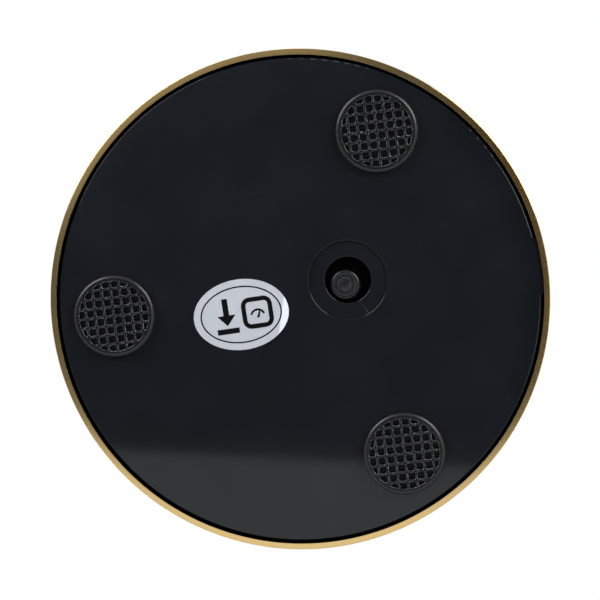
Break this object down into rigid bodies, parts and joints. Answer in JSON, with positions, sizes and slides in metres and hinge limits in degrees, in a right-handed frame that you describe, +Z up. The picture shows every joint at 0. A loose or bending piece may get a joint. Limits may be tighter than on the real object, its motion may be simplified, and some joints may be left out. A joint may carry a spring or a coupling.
{
  "type": "digital bathroom scale",
  "caption": "Round digital bathroom scale: glass platform in a gold rim floating on load cells over a black base with rubber pads and a recessed unit button.",
  "frame": {"origin": "centre of the circle that the rim makes, on the surface that the pads stand on", "axes": "+Z up out of the glass, +Y towards the display and the charging port, +X to the right of a user who faces the display"},
  "size_m": [0.26, 0.26, 0.0257],
  "materials": {
    "base_plastic": "semi-gloss moulded black",
    "pad_rubber": "matte black rubber",
    "label": "silver-grey satin sticker",
    "silicone": "white silicone",
    "screw_steel": "zinc plated",
    "board": "green solder mask",
    "connector": "off-white moulded",
    "chip": "black epoxy",
    "battery": "foil pouch",
    "tape": "black foam adhesive",
    "port_steel": "drawn steel",
    "lead_jacket": "black jacket",
    "cell_alloy": "machined alloy",
    "spring_steel": "spring wire",
    "ribbon": "white flat cable",
    "gold_rim": "turned and polished gold",
    "tray_steel": "zinc-plated sheet steel",
    "top_glass": "toughened smoked glass",
    "mask": "black printed mask",
    "frame_plastic": "black moulded",
    "display": "smoked diffuser with white digits",
    "button_plastic": "satin black"
  },
  "bodies": {
    "base": {"base_plate": "base_plastic", "foot_pad_heel": "pad_rubber", "foot_pad_right": "pad_rubber", "foot_pad_left": "pad_rubber", "rating_label": "label", "load_cell_heel": "cell_alloy", "load_cell_right": "cell_alloy", "load_cell_left": "cell_alloy", "button_spring": "spring_steel", "display_cable": "ribbon", "cell_gauges": "silicone", "cell_base_screws": "screw_steel", "main_board": "board", "board_screws": "screw_steel", "board_sockets": "connector", "board_chips": "chip", "lead_plugs": "connector", "battery_pack": "battery", "battery_tape": "tape", "charge_board": "board", "charge_board_screws": "screw_steel", "charge_port": "port_steel", "switch_body": "chip", "cell_lead_heel": "lead_jacket", "cell_lead_right": "lead_jacket", "cell_lead_left": "lead_jacket", "battery_lead": "lead_jacket", "charge_lead": "lead_jacket", "stop_cushions": "pad_rubber"},
    "platform": {"rim_ring": "gold_rim", "platform_tray": "tray_steel", "glass_top": "top_glass", "tray_rim_screws": "screw_steel", "platform_screws": "screw_steel", "cell_spacers": "cell_alloy", "glass_bond": "tape", "mask_film": "mask", "display_frame": "frame_plastic", "display_board": "board", "display_panel": "display", "display_screws": "screw_steel"},
    "unit_button": {"button_cap": "button_plastic", "switch_plunger": "frame_plastic"}
  },
  "joints": [
    {"name": "platform_press", "type": "slide", "parent": "base", "child": "platform", "axis": [0, 0, 1], "range_m": [-0.0006, 0], "stiffness_N_per_m": 2900000, "deforming": ["load_cell_heel", "load_cell_right", "load_cell_left", "display_cable"]},
    {"name": "button_press", "type": "slide", "parent": "base", "child": "unit_button", "axis": [0, 0, 1], "range_m": [0, 0.001], "stiffness_N_per_m": 1500, "springref_m": -0.001, "deforming": ["button_spring"]}
  ]
}
